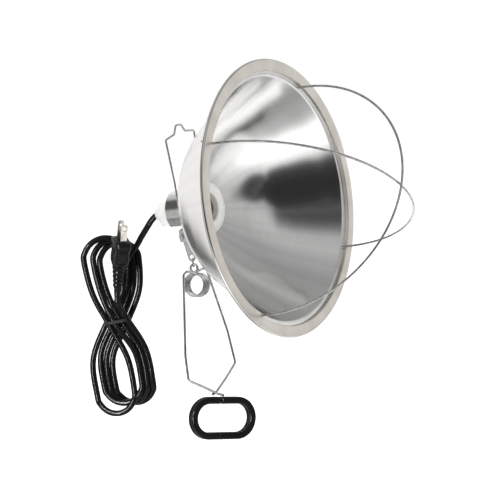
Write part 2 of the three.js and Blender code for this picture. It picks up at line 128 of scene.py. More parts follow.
def object_place(material, scale=(1, 1, 1), location=(0, 0, 0)):
    """The surface point in the row frame, scaled."""
    place = node(material, "ShaderNodeTexCoord")
    mapping = node(material, "ShaderNodeMapping", Scale=scale, Location=location)
    link(material, place, "Object", mapping, "Vector")
    return mapping


def ramp(material, source, out, stops):
    made = node(material, "ShaderNodeValToRGB")
    elements = made.color_ramp.elements
    while len(elements) < len(stops):
        elements.new(0.5)
    for element, (position, color) in zip(elements, stops):
        element.position = position
        element.color = (*color, 1) if len(color) == 3 else color
    link(material, source, out, made, "Fac")
    return made


def bump(material, source, out, strength, distance):
    made = node(material, "ShaderNodeBump", Strength=strength, Distance=distance)
    link(material, source, out, made, "Height")
    link(material, made, "Normal", material.node_tree.nodes["Principled BSDF"], "Normal")
    return made


def vary(material, low, high, scale=60, detail=4, socket="Roughness", stretch=(1, 1, 1)):
    """Drives a grey socket or the colour between two values with soft noise."""
    place = object_place(material, scale=stretch)
    noise = node(material, "ShaderNodeTexNoise", Scale=scale, Detail=detail, Roughness=0.6)
    link(material, place, "Vector", noise, "Vector")
    as_color = [(v, v, v) if isinstance(v, (int, float)) else v for v in (low, high)]
    colors = ramp(material, noise, "Fac", [(0.32, as_color[0]), (0.68, as_color[1])])
    link(material, colors, "Color", material.node_tree.nodes["Principled BSDF"], socket)
    return noise


def spun_metal(name, dark, light, roughness, anisotropy, groove=0.00004):
    """Aluminium with fine marks that run round the lamp's axis, and faint radial streaks of painted reflection
    in its colour.
    """
    material = new_material(name, light, roughness, 1.0, Anisotropic=anisotropy)
    shader = material.node_tree.nodes["Principled BSDF"]
    tangent = node(material, "ShaderNodeTangent")
    tangent.direction_type = "RADIAL"
    tangent.axis = "Y"
    link(material, tangent, "Tangent", shader, "Tangent")
    place = object_place(material, location=(0, 0.107, 0.084))
    parts = node(material, "ShaderNodeSeparateXYZ")
    link(material, place, "Vector", parts, "Vector")
    flat = node(material, "ShaderNodeCombineXYZ")
    link(material, parts, "X", flat, "X")
    link(material, parts, "Z", flat, "Z")
    radius = node(material, "ShaderNodeVectorMath")
    radius.operation = "LENGTH"
    link(material, flat, "Vector", radius, 0)
    rings = node(material, "ShaderNodeCombineXYZ")
    link(material, radius, "Value", rings, "X")
    link(material, parts, "Y", rings, "Y")
    fine = node(material, "ShaderNodeTexNoise", Scale=900, Detail=5, Roughness=0.7)
    link(material, rings, "Vector", fine, "Vector")
    bump(material, fine, "Fac", 0.2, groove)
    direction = node(material, "ShaderNodeVectorMath")
    direction.operation = "NORMALIZE"
    link(material, flat, "Vector", direction, 0)
    # Painted reflection: colour streaks that vary with the angle round the axis stand in for the mirrored
    # radial fans.
    painted_reflection_streaks = node(material, "ShaderNodeTexNoise", Scale=3.2, Detail=8, Roughness=0.6)
    link(material, direction, "Vector", painted_reflection_streaks, "Vector")
    weak = node(material, "ShaderNodeMath")
    weak.operation = "MULTIPLY"
    weak.inputs[1].default_value = 0.25
    link(material, fine, "Fac", weak, 0)
    mixed = node(material, "ShaderNodeMath")
    mixed.operation = "ADD"
    link(material, weak, "Value", mixed, 0)
    link(material, painted_reflection_streaks, "Fac", mixed, 1)
    colors = ramp(material, mixed, "Value", [(0.5, dark), (0.75, light)])
    link(material, colors, "Color", shader, "Base Color")
    return material


def drawn_wire(name, dark, light, roughness):
    material = new_material(name, light, roughness, 1.0)
    noise = vary(material, dark, light, scale=220, socket="Base Color")
    bump(material, noise, "Fac", 0.15, 0.00005)
    return material


def porcelain():
    material = new_material("porcelain", (0.95, 0.945, 0.92), 0.18, Coat_Weight=0.6, Coat_Roughness=0.08,
                            Subsurface_Weight=0.12, Subsurface_Scale=0.002)
    noise = vary(material, (0.93, 0.92, 0.89), (0.97, 0.965, 0.95), scale=90, socket="Base Color")
    bump(material, noise, "Fac", 0.12, 0.0003)
    return material


def vinyl(name, color, low, high):
    """Dipped or moulded black plastic: slightly uneven gloss and a faint orange-peel surface."""
    material = new_material(name, color, low, Specular_IOR_Level=0.14)
    vary(material, low, high, scale=70)
    place = object_place(material)
    peel = node(material, "ShaderNodeTexNoise", Scale=420, Detail=3)
    link(material, place, "Vector", peel, "Vector")
    bump(material, peel, "Fac", 0.03, 0.00002)
    return material


MATERIALS = {
    "bowl": spun_metal("bowl_inside", (0.82, 0.82, 0.815), (0.97, 0.965, 0.955), 0.15, 0.3),
    "lip": spun_metal("lip", (0.76, 0.72, 0.65), (0.91, 0.875, 0.81), 0.38, 0.2),
    "bead": spun_metal("rolled_bead", (0.70, 0.68, 0.65), (0.88, 0.86, 0.82), 0.14, 0.2),
    "bell": spun_metal("bell_outside", (0.88, 0.865, 0.84), (0.97, 0.96, 0.94), 0.24, 0.4),
    "steel": drawn_wire("steel_wire", (0.42, 0.42, 0.42), (0.72, 0.72, 0.71), 0.2),
    "spring": drawn_wire("spring_steel", (0.42, 0.42, 0.43), (0.76, 0.76, 0.77), 0.14),
    "zinc": drawn_wire("zinc_plate", (0.72, 0.72, 0.71), (0.86, 0.86, 0.85), 0.15),
    "brass": drawn_wire("brass", (0.42, 0.31, 0.13), (0.72, 0.58, 0.3), 0.32),
    "nickel": drawn_wire("nickel", (0.42, 0.40, 0.36), (0.78, 0.76, 0.70), 0.26),
    "porcelain": porcelain(),
    "vinyl": vinyl("black_vinyl", (0.003, 0.003, 0.0035), 0.14, 0.24),
    "jacket": vinyl("cord_jacket", (0.003, 0.003, 0.0035), 0.2, 0.25),
    "tie": vinyl("tie_plastic", (0.010, 0.010, 0.010), 0.42, 0.6),
}


# ---------------------------------------------------------------- mesh helpers
DARK_PIECES = []


def finish_piece(name, mesh, body, node_name, slot, materials, smooth=True):
    piece = bpy.data.objects.new(name, mesh)
    if slot in ("black_vinyl", "tie_plastic"):
        DARK_PIECES.append(piece)
    bpy.context.scene.collection.objects.link(piece)
    for key in materials:
        mesh.materials.append(MATERIALS[key])
    for face in mesh.polygons:
        face.use_smooth = smooth
    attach(piece, body)
    if node_name:
        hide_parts(node_name)
    return piece


def lathe_mesh(name, profile, place, segments=160, closed=True, pick=None):
    """Turns (radius, y) points about the lamp's axis. pick(k) gives the material index of the faces that start
    at the k-th profile point.
    """
    mesh = bpy.data.meshes.new(name)
    build = bmesh.new()
    rings = []
    for r, y in profile:
        if r < 1e-6:
            rings.append([build.verts.new(place @ Vector((0, y, 0)))] * segments)
            continue
        angles = [2 * math.pi * i / segments for i in range(segments)]
        rings.append([build.verts.new(place @ Vector((r * math.sin(a), y, r * math.cos(a)))) for a in angles])
    count = len(rings) if closed else len(rings) - 1
    for k in range(count):
        a, b = rings[k], rings[(k + 1) % len(rings)]
        for i in range(segments):
            j = (i + 1) % segments
            corners = list(dict.fromkeys((a[i], a[j], b[j], b[i])))
            if len(corners) > 2:
                face = build.faces.new(corners)
                if pick:
                    face.material_index = pick(k)
    bmesh.ops.recalc_face_normals(build, faces=build.faces)
    build.to_mesh(mesh)
    build.free()
    return mesh


def frames_along(points, closed=False):
    """A rotation-minimising pair of side vectors at each point."""
    count = len(points)
    tangents = []
    for i in range(count):
        before = points[i - 1] if closed or i else points[0]
        after = points[(i + 1) % count] if closed or i < count - 1 else points[-1]
        tangents.append((after - before).normalized())
    side = tangents[0].orthogonal().normalized()
    frames = []
    for tangent in tangents:
        side = (side - tangent * side.dot(tangent)).normalized()
        frames.append((side, tangent.cross(side)))
    return frames


def tube_mesh(name, points, radius, place, sides=16, closed=False, section=None, side_axis=None):
    """A wire, or another section swept along the points, with flat ends."""
    mesh = bpy.data.meshes.new(name)
    build = bmesh.new()
    points = [Vector(p) for p in points]
    frames = frames_along(points, closed)
    if side_axis:
        frames = [((b.cross(a)).cross(side_axis).normalized(), side_axis) for a, b in frames]
    if section is None:
        section = [(radius * math.cos(2 * math.pi * i / sides), radius * math.sin(2 * math.pi * i / sides))
                   for i in range(sides)]
    rings = []
    for point, (a, b) in zip(points, frames):
        rings.append([build.verts.new(place @ (point + a * x + b * y)) for x, y in section])
    count = len(rings) if closed else len(rings) - 1
    for k in range(count):
        low, high = rings[k], rings[(k + 1) % len(rings)]
        for i in range(len(section)):
            j = (i + 1) % len(section)
            build.faces.new((low[i], low[j], high[j], high[i]))
    if not closed:
        build.faces.new(rings[0])
        build.faces.new(rings[-1])
    bmesh.ops.recalc_face_normals(build, faces=build.faces)
    build.to_mesh(mesh)
    build.free()
    return mesh


def rounded_path(corners, radius, per_corner=8):
    """Straight lines between corners, each corner rounded to the radius."""
    corners = [Vector(c) for c in corners]
    points = [corners[0]]
    for before, corner, after in zip(corners, corners[1:], corners[2:]):
        back, ahead = (before - corner).normalized(), (after - corner).normalized()
        half = back.angle(ahead) / 2
        centre = corner + (back + ahead).normalized() * radius / math.sin(half)
        first = corner + back * radius / math.tan(half) - centre
        last = corner + ahead * radius / math.tan(half) - centre
        for k in range(per_corner + 1):
            spoke = first.slerp(last, k / per_corner)
            points.append(centre + spoke * radius / spoke.length)
    return points + [corners[-1]]


def plate_mesh(name, loops, thickness, place, edge=0.15):
    """A flat plate from closed outlines in its own XY plane, with softened edges."""
    curve = bpy.data.curves.new(name, "CURVE")
    curve.dimensions = "2D"
    curve.fill_mode = "BOTH"
    curve.extrude = thickness / 2 - edge
    curve.bevel_depth = edge
    curve.bevel_resolution = 2
    curve.offset = -edge
    for loop in loops:
        spline = curve.splines.new("POLY")
        spline.points.add(len(loop) - 1)
        for point, (x, y) in zip(spline.points, loop):
            point.co = (x, y, 0, 1)
        spline.use_cyclic_u = True
    holder = bpy.data.objects.new(name, curve)
    bpy.context.scene.collection.objects.link(holder)
    mesh = bpy.data.meshes.new_from_object(holder.evaluated_get(bpy.context.evaluated_depsgraph_get()))
    bpy.data.objects.remove(holder)
    mesh.materials.clear()
    mesh.transform(place)
    return mesh


def circle(x, y, r, start=0, end=360, count=32):
    """Points round a circle, or along part of one with both its ends."""
    whole = abs(end - start) >= 360
    angles = [math.radians(start + (end - start) * i / count) for i in range(count if whole else count + 1)]
    return [(x + r * math.cos(a), y + r * math.sin(a)) for a in angles]


def smooth_curve(points, per_span=8):
    """Catmull-Rom through the points."""
    points = [Vector(p) for p in points]
    padded = [2 * points[0] - points[1], *points, 2 * points[-1] - points[-2]]
    result = []
    for p0, p1, p2, p3 in zip(padded, padded[1:], padded[2:], padded[3:]):
        for k in range(per_span):
            t = k / per_span
            result.append(0.5 * (2 * p1 + (p2 - p0) * t + (2 * p0 - 5 * p1 + 4 * p2 - p3) * t * t
                                 + (3 * p1 - p0 - 3 * p2 + p3) * t * t * t))
    return result + [points[-1]]


# ---------------------------------------------------------------- cord
# From inside the socket's rear, straight out and then down toward the hank, in metres from the rim's centre.
LEAD = [
    (0, 0.134, 0), (0, 0.143, 0), (0, 0.1479, -0.0006),
    (-0.0008, 0.1521, -0.0022), (-0.0016, 0.1557, -0.0047), (-0.0024, 0.159, -0.0078),
    (-0.0036, 0.166, -0.0154), (-0.0048, 0.172, -0.022), (-0.0056, 0.176, -0.027),
]
UPPER = Vector((-41.4, 0, -57))
LOWER = Vector((-49.8, 0, -149))
WAIST = Vector((-45.3, 0, -101))
UPPER_HALF = (27.2, 41.0)
LOWER_HALF = (29.4, 44.6)
# How far inside the outermost strand each turn runs, then how far its fold stops short of the hank's end.
UPPER_LEFT = (0, 9.2, 15.4)
UPPER_RIGHT = (16.8, 11.4, 5.8, 0)
LOWER_LEFT = (0, 8.5, 14.4, 20.2)
LOWER_RIGHT = (20, 11.2, 5.6, 0)
TOP_SHORT = (0, 0, 3.5, 7)
BOTTOM_SHORT = (0, 8.5, 7, 5.5)
HALF_DEPTH = 4.6
WAIST_SPREAD = 5.4  # between neighbouring strands where they cross at the waist
TURNS = 4


def fold(centre, half, left, right, short, stack, up):
    """A half circle over the top or under the bottom of a lobe, from its left strand in front or behind."""
    radius = half[0] - (left + right) / 2
    middle = centre + Vector(((left - right) / 2, 0, up * (half[1] - short - radius)))
    points = []
    for degrees in range(180, -1, -30):
        angle = math.radians(degrees)
        depth = up * HALF_DEPTH * math.cos(angle) + stack * math.sin(angle)
        points.append(middle + Vector((radius * math.cos(angle), depth, up * radius * math.sin(angle))))
    return points


def toward_waist(end, waist, bulge=0.14):
    """The point halfway down a lobe's side, which bulges outward."""
    halfway = (end + waist) / 2
    halfway.x += 2 * bulge * (end.x - waist.x)
    return halfway


def hank_route():
    """Figure-eight turns: down the right of the upper loop, behind the waist, round the lower loop, and back
    up across the front of the waist."""
    route = []
    for turn in range(TURNS):
        stack = (turn - 1.5) * 4.8
        side = (turn - 1.5) * WAIST_SPREAD
        layer = 3.4 + 4.4 * (turn % 2)
        behind = WAIST + Vector((side, layer, -0.6 * side))
        ahead = WAIST + Vector((side, -layer, 0.6 * side))
        if turn:
            over = fold(UPPER, UPPER_HALF, UPPER_LEFT[turn - 1], UPPER_RIGHT[turn], TOP_SHORT[turn], stack, 1)
            route += [toward_waist(over[0], route[-1]), *over]
        else:
            route.append(UPPER + Vector((UPPER_HALF[0] - UPPER_RIGHT[0] - 1, HALF_DEPTH, 5)))
        under = fold(LOWER, LOWER_HALF, LOWER_LEFT[turn], LOWER_RIGHT[turn], BOTTOM_SHORT[turn], stack, -1)
        route += [toward_waist(route[-1], behind), behind, toward_waist(under[0], behind, 0.2), *under,
                  toward_waist(under[-1], ahead, 0.2), ahead]
    return route


PLUG_UP = Vector((0.27, -0.31, 0.95)).normalized()
PLUG_FACE = Vector((-25.5, -32, -18.5))
PLUG_LENGTH = 28
RELIEF_LENGTH = 24
RELIEF_END = PLUG_FACE - PLUG_UP * (PLUG_LENGTH + RELIEF_LENGTH + 0.3)
TAIL = [(-2.2, 1.7, -16), (-1.6, 1.5, -10), (-0.9, 1, -4), (0, 0, 0), (0.6, -0.9, 3)]


def make_cord():
    lead = [FIXTURE @ (Vector(p) * 1000) for p in LEAD]
    hank = [HANK @ p for p in hank_route()]
    tail = [HANK @ (RELIEF_END + Vector(p)) for p in TAIL]
    route = smooth_curve([*lead, *hank, *tail], 6)
    curve = bpy.data.curves.new("power_cord", "CURVE")
    curve.dimensions = "3D"
    curve.bevel_depth = CORD_D / 2000
    curve.bevel_resolution = 5
    curve.use_fill_caps = True
    spline = curve.splines.new("POLY")
    spline.points.add(len(route) - 1)
    for point, place in zip(spline.points, route):
        point.co = (*place, 1)
    spline.use_smooth = True
    curve.materials.append(MATERIALS["jacket"])
    cord = bpy.data.objects.new("power_cord", curve)
    bpy.context.scene.collection.objects.link(cord)
    DARK_PIECES.append(cord)
    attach(cord, "fixture")
    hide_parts("cord_lead", "cord_hank", "cord_tail")
    length = sum((b - a).length for a, b in zip(route, route[1:]))
    print("cord length", round(length, 3))
    return cord, length


def make_tie():
    """A twist tie wound twice round the waist."""
    half_width, half_depth, corner = 13, 11.9, 8.5
    corners = [(half_width, half_depth), (-half_width, half_depth), (-half_width, -half_depth),
               (half_width, -half_depth)]
    loop = []
    for wind in range(2):
        for i, (x, y) in enumerate(corners):
            start = 90 * i
            for step in range(7):
                angle = math.radians(start + 15 * step)
                loop.append(WAIST + Vector((x - math.copysign(corner, x) + corner * math.cos(angle),
                                            y - math.copysign(corner, y) + corner * math.sin(angle),
                                            1.4 * (wind + i / 4 - 1))))
    section = [(0.45 * math.cos(a), 0.9 * math.sin(a)) for a in [math.radians(30 * i) for i in range(12)]]
    mesh = tube_mesh("cord_twist_tie", loop, 1, HANK, section=section, side_axis=Vector((0, 0, 1)))
    return finish_piece("cord_twist_tie", mesh, "fixture", "cord_tie", "tie_plastic", ["tie"])


def plug_frame():
    apart = -(Vector((0.34, -0.94, 0)).cross(PLUG_UP).cross(PLUG_UP)).normalized()
    across = PLUG_UP.cross(apart)
    turn = Matrix((apart, across, PLUG_UP)).transposed().to_4x4()
    return HANK @ Matrix.Translation(PLUG_FACE) @ turn


def make_plug():
    place = plug_frame()
    mesh = bpy.data.meshes.new("plug_moulding")
    build = bmesh.new()
    # Rounded sections from the face to the relief: distance below the face, half width, half depth, power
    sections = [
        (0.0, 10.6, 6.6, 3), (0.5, 11.8, 7.8, 3.4), (2, 12.5, 8.5, 4), (8, 12.5, 8.5, 4),
        (9, 11.9, 7.9, 4), (14, 11.6, 7.7, 3.6), (19, 12.0, 8.2, 3.4), (23, 11.6, 8.2, 3),
        (26, 9.4, 7.6, 2.6), (28, 7.3, 6.8, 2.2),
    ]
    beads = 5
    pitch = RELIEF_LENGTH / beads
    for i in range(beads):
        top = PLUG_LENGTH + i * pitch
        radius = 6.6 - 0.55 * i
        for step, shrink in ((0.15, 0), (0.3, -0.15), (0.5, -0.15), (0.66, 0), (0.74, 0.95), (0.96, 0.95)):
            sections.append((top + step * pitch, radius - shrink, radius - shrink, 2))
    sections.append((PLUG_LENGTH + RELIEF_LENGTH, 3.6, 3.6, 2))
    sides = 48
    rings = []
    for down, half_x, half_y, power in sections:
        ring = []
        for i in range(sides):
            a = 2 * math.pi * i / sides
            c, s = math.cos(a), math.sin(a)
            reach = (abs(c) ** power + abs(s) ** power) ** (-1 / power)
            ring.append(build.verts.new(place @ Vector((half_x * reach * c, half_y * reach * s, -down))))
        rings.append(ring)
    for low, high in zip(rings, rings[1:]):
        for i in range(sides):
            build.faces.new((low[i], low[(i + 1) % sides], high[(i + 1) % sides], high[i]))
    build.faces.new(rings[0])
    build.faces.new(rings[-1])
    bmesh.ops.recalc_face_normals(build, faces=build.faces)
    build.to_mesh(mesh)
    build.free()
    body = finish_piece("plug_moulding", mesh, "fixture", "plug_body", "black_vinyl", ["vinyl"])
    blades = []
    for index, side in enumerate((-1, 1)):
        flat = place @ Matrix.Translation((side * 6.35, 0, 0)) @ Matrix.Rotation(math.radians(90), 4, "Y")
        outline = [(0.6, -3.15), (-16.6, -3.15), (-17.8, -2.2), (-17.8, 2.2), (-16.6, 3.15), (0.6, 3.15)]
        blade = plate_mesh(f"blade_{index + 1}", [outline, circle(-13.3, 0, 1.5, count=24)], 1.5, flat)
        node_name = f"plug_blade_{index + 1}"
        blades.append(finish_piece(f"blade_{index + 1}", blade, "fixture", node_name, "nickel", ["nickel"],
                                   smooth=False))
    return [body, *blades]


cord, cord_length = make_cord()
tie = make_tie()
plug_pieces = make_plug()


# ---------------------------------------------------------------- reflector
def sheet_outline(line):
    """Both faces of the spun sheet that follows the line, as one closed outline."""
    def face(sign):
        offset = []
        for i, (r, y) in enumerate(line):
            r0, y0 = line[max(i - 1, 0)]
            r1, y1 = line[min(i + 1, len(line) - 1)]
            first = Vector((r - r0, y - y0)) if i else Vector((r1 - r, y1 - y))
            second = Vector((r1 - r, y1 - y)) if i < len(line) - 1 else first
            first, second = first.normalized(), second.normalized()
            normal = Vector((-first.y - second.y, first.x + second.x)).normalized()
            miter = 1 / max(0.6, normal.dot(Vector((-first.y, first.x))))
            offset.append((r + normal.x * sign * miter * SHEET / 2, y + normal.y * sign * miter * SHEET / 2))
        return offset
    return face(1), face(-1)


def arc(cx, cy, r, start, end, steps):
    return [(cx + r * math.cos(math.radians(start + (end - start) * k / steps)),
             cy + r * math.sin(math.radians(start + (end - start) * k / steps))) for k in range(steps + 1)]


def make_reflector():
    bead = arc(RIM_R - BEAD_R, BEAD_R, BEAD_R - SHEET / 2, 130, -90, 16)
    step = [*arc(LIP_INNER_R + 0.6, SHEET / 2 + 0.6, 0.6, -90, -180, 3),
            *arc(LIP_INNER_R - 0.6, LEDGE_Y - 0.6, 0.6, 0, 90, 3)]
    bell_points = [
        (LEDGE_INNER_R, LEDGE_Y), (112.5, 13), (105, 26), (96.8, 39), (88, 52), (77.5, 65),
        (63, 78), (43.4, 91), (27, 99.6), (NECK_R, NECK_START_Y),
    ]
    bell = [tuple(p) for p in smooth_curve(bell_points, 7)]
    line = [*bead, *step, *bell, (NECK_R, NECK_END_Y)]
    front, back = sheet_outline(line)
    # The outline runs along the face toward the mouth and returns along the face away from it.
    profile = [*front, *back[::-1]]
    lip_end, count = len(bead) + len(step) // 2 + 1, len(line)

    def pick(k):
        if k >= count:
            return 2
        if k < len(bead) - 1:
            return 3
        return 1 if k < lip_end else 0
    mesh = lathe_mesh("reflector_bell", profile, FIXTURE, 192, pick=pick)
    return finish_piece("reflector_bell", mesh, "fixture", "reflector_bowl", "spun_aluminium",
                        ["bowl", "lip", "bell", "bead"])


def make_guards():
    for index, (degrees, height) in enumerate(GUARDS):
        turn = FIXTURE @ Matrix.Rotation(math.radians(degrees), 4, "Y")
        hook_y = LEDGE_Y + SHEET / 2 + 1.1 + 2.4
        hooks = [rounded_path([(0, 0.2, side * GUARD_FOOT_R), (0, hook_y, side * GUARD_FOOT_R),
                               (0, hook_y, side * (GUARD_FOOT_R + 7))], 2.4) for side in (1, -1)]
        dome = [(0, -height * math.sin(math.pi * i / 72), GUARD_FOOT_R * math.cos(math.pi * i / 72))
                for i in range(1, 72)]
        mesh = tube_mesh(f"guard_wire_{index + 1}", [*hooks[0][::-1], *dome, *hooks[1]], 1.1, turn)
        node_name = f"guard_hoop_{index + 1}"
        finish_piece(f"guard_wire_{index + 1}", mesh, "fixture", node_name, "steel_wire", ["steel"])


# ---------------------------------------------------------------- socket and collar
def soften(profile, radius=0.5, steps=3):
    """Rounds the inner corners of a lathe profile."""
    points = [Vector((r, y, 0)) for r, y in profile]
    result = [profile[0]]
    for before, corner, after in zip(points, points[1:], points[2:]):
        reach = min(radius, (before - corner).length * 0.4, (after - corner).length * 0.4)
        start = corner + (before - corner).normalized() * reach
        end = corner + (after - corner).normalized() * reach
        for k in range(steps + 1):
            t = k / steps
            p = start * (1 - t) ** 2 + corner * 2 * t * (1 - t) + end * t * t
            result.append((p.x, p.y))
    return result + [profile[-1]]


def make_socket():
    front = soften([
        (0, 118), (14.2, 118), (14.2, 86), (15.2, 85), (22, 85), (22.6, 84.3), (23.8, 84.3),
        (24.6, 85), (26, 86.4), (26, 93.5), (21.5, 98.6), (18, 100.6), (18, 121.4), (0, 121.4),
    ])
    mesh = lathe_mesh("porcelain_front", front, FIXTURE, 96, closed=False)
    finish_piece("porcelain_front", mesh, "fixture", "socket_front", "porcelain", ["porcelain"])
    shoulder = [
        (18.0, 121.7), (18.1, 127), (18.3, 133.5), (18.1, 136.2), (16.6, 138), (13.4, 138.9), (10.4, 139.2),
        (9, 140.4), (8.5, 146.8), (7.4, 148), (4.3, 148), (4.3, 129.4), (12.5, 129.4), (12.5, 121.7),
    ]
    rear = soften([*shoulder, shoulder[0]], 0.8)
    mesh = lathe_mesh("porcelain_rear", rear[:-1], FIXTURE, 96)
    finish_piece("porcelain_rear", mesh, "fixture", "socket_rear", "porcelain", ["porcelain"])
    thread = [(13.0 + 0.22 * math.cos(2 * math.pi * k / 12), 91 + 0.3 * k) for k in range(61)]
    wall = [(r - 0.45, y) for r, y in thread]
    mesh = lathe_mesh("threaded_shell", [*thread, *wall[::-1]], FIXTURE, 72)
    finish_piece("threaded_shell", mesh, "fixture", "screw_shell", "brass", ["brass"])


def make_collar():
    outer, inner, gap, end = 20.4, 19.5, 2.5, -31
    ear = gap + 0.9
    a = math.degrees(math.asin(ear / outer))
    b = math.degrees(math.asin(gap / inner))
    outline = [(ear, end), *circle(0, 0, outer, -90 + a, 270 - a, 96), (-ear, end), (-gap, end),
               *circle(0, 0, inner, 270 - b, -90 + b, 96), (gap, end)]
    place = FIXTURE @ Matrix.Translation((0, 115.5, 0)) @ Matrix.Rotation(math.radians(90), 4, "X")
    mesh = plate_mesh("collar_strap", [outline], 20, place, edge=0.2)
    finish_piece("collar_strap", mesh, "fixture", "collar_band", "zinc", ["zinc"], smooth=False)
    screw = FIXTURE @ Matrix.Translation((0, 120.5, -26)) @ Matrix.Rotation(math.radians(-90), 4, "Z")
    head = soften([(0, 5.2), (1.9, 5.7), (3.2, 5.4), (4, 4.6), (4, 3.7), (1.9, 3.7), (1.9, -8), (0, -8)], 0.3)
    mesh = lathe_mesh("collar_bolt", head, screw, 40, closed=False)
    finish_piece("collar_bolt", mesh, "fixture", "collar_screw", "zinc", ["zinc"])
    nut_place = FIXTURE @ Matrix.Translation((-5, 120.5, -26)) @ Matrix.Rotation(math.radians(90), 4, "Y")
    outlines = [circle(0, 0, 4, count=6), circle(0, 0, 2.2, count=24)]
    mesh = plate_mesh("hex_nut", outlines, 2.6, nut_place, 0.25)
    finish_piece("hex_nut", mesh, "fixture", "collar_nut", "zinc", ["zinc"], smooth=False)


# ---------------------------------------------------------------- bail, strap, link
def make_bail():
    def skewed(x, z):
        return x, 107, z + 2.4 * x / 25.2

    def leg(s):
        return [(s * 18.9, 107, -6), (s * 22, 107, -6), (s * 22, 107, 30),
                skewed(s * 25.2, 74), skewed(s * 9.5, 76.4), (s * 4.6, 107, 84)]
    path = rounded_path([*leg(-1), *leg(1)[::-1]], 2.2)
    mesh = tube_mesh("bail_wire", path, 1, FIXTURE)
    finish_piece("bail_wire", mesh, "bail", "hang_bail", "steel_wire", ["steel"])


def make_hanger():
    lean = math.degrees(math.atan2(120.5 - 116.9, -26 + 47.5))
    outline = [*circle(120.5, -26, 4.5, -lean, 180 - lean, 20),
               *circle(116.9, -47.5, 4.5, 180 - lean, 360 - lean, 20)]
    upright = Matrix(((0, 0, 1, 0), (1, 0, 0, 0), (0, 1, 0, 0), (0, 0, 0, 1)))
    holes = [circle(120.5, -26, 2.4, count=24), circle(116.9, -47.5, 2.3, count=24)]
    mesh = plate_mesh("hanger_strap", [outline, *holes], 1.2, FIXTURE @ upright)
    finish_piece("hanger_strap", mesh, "strap", "clamp_strap", "zinc", ["zinc"], smooth=False)
    centre = Vector((0, CLAMP_Y, EYE_Z + EYE_R - CLAMP_WIRE_R - LINK_WIRE_R - PLAY + LINK_R))
    place = FIXTURE @ Matrix.Translation(centre) @ Matrix.Rotation(math.radians(LINK_TURN), 4, "Z")
    ring = [(x, 0, z) for x, z in circle(0, 0, LINK_R, count=48)]
    mesh = tube_mesh("link", ring, LINK_WIRE_R, place, closed=True)
    finish_piece("link", mesh, "link", "link_ring", "steel_wire", ["steel"])


# ---------------------------------------------------------------- spring clamp
def make_clamp():
    per_turn = 40
    helix = []
    for i in range(COIL_TURNS * per_turn + 1):
        angle = 2 * math.pi * i / per_turn
        depth = COIL_PITCH * (i / per_turn - COIL_TURNS / 2)
        helix.append((COIL_R * math.sin(angle), depth, COIL_Z + COIL_R * math.cos(angle)))
    mesh = tube_mesh("spring_coil", helix, CLAMP_WIRE_R, CLAMP)
    finish_piece("spring_coil", mesh, "clamp_head", "clamp_coil", "spring_steel", ["spring"])
    eye = [(x, 0, EYE_Z + z) for x, z in circle(0, 0, EYE_R, count=40)]
    mesh = tube_mesh("spring_eye", eye, CLAMP_WIRE_R, CLAMP, closed=True)
    finish_piece("spring_eye", mesh, "clamp_head", None, "spring_steel", ["spring"])
    shapes = {
        -1: [(-16.4, -57.6), (-28.9, -141), (-29.4, -166), (-13.1, -176.3), (1.8, -186.5), (8.8, -189.7)],
        1: [(17.6, -60.6), (29.3, -128), (31.6, -161.6), (16.4, -174.9), (2.6, -185.4), (-2.5, -186.8)],
    }
    for side, name in ((-1, "left"), (1, "right")):
        coil_end = COIL_PITCH * COIL_TURNS / 2
        corners = [(side * PLAY, side * coil_end, COIL_Z + COIL_R)]
        for x, z in shapes[side]:
            along = min(1, max(0, (z - COIL_Z) / (CROSSING_Z - COIL_Z)))
            corners.append((x, side * (coil_end + (CROSSING_DEPTH - coil_end) * along), z))
        mesh = tube_mesh(f"arm_wire_{name}", rounded_path(corners, 5), CLAMP_WIRE_R, CLAMP)
        finish_piece(f"arm_wire_{name}", mesh, f"arm_{name}", f"clamp_arm_{name}", "spring_steel", ["spring"])


def make_jaws():
    half_x, half_y, corner, groove = 3.6, 5.0, 2.6, 1.0
    quarter = circle(half_x - corner, half_y - corner, corner, 0, 90, 6)
    dip = [(half_x - groove, 0), (half_x - 0.55, 0.6), (half_x - 0.12, 1.3)]
    right = [*dip, *quarter]
    section = [*right, *[(-x, y) for x, y in right[::-1]]]
    section += [(-x, -y) for x, y in right[1:]] + [(x, -y) for x, y in right[1:][::-1]]
    starts = {-1: (-5.8, -4.4, "left"), 1: (-2.8, -3.8, "right")}
    for side, (top, bottom, name) in starts.items():
        bend = [(side * x, 0, z) for x, z in circle(JAW_STRAIGHT, 0, JAW_BEND_R, 90, -90, 36)]
        corner_x = side * JAW_STRAIGHT
        start = [(top + (corner_x - top) * k / 8, 0, JAW_BEND_R) for k in range(8)]
        end = [(corner_x + (bottom - corner_x) * k / 8, 0, -JAW_BEND_R) for k in range(1, 9)]
        mesh = tube_mesh(f"jaw_cover_{name}", [*start, *bend, *end], 1, JAWS, section=section,
                         side_axis=Vector((0, 1, 0)))
        body = "arm_right" if side < 0 else "arm_left"
        finish_piece(f"jaw_cover_{name}", mesh, body, f"jaw_pad_{name}", "black_vinyl", ["vinyl"])


def dress_small_nodes():
    """The pieces whose CAD shape is shown as it is."""
    for name in ("centre_contact", "terminal_screw_1", "terminal_screw_2"):
        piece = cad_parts[name]
        piece.data.materials.clear()
        piece.data.materials.append(MATERIALS["brass"])


make_reflector()
make_guards()
make_socket()
make_collar()
make_bail()
make_hanger()
make_clamp()
make_jaws()
dress_small_nodes()


# ---------------------------------------------------------------- studio
FLOOR_Z = -0.345
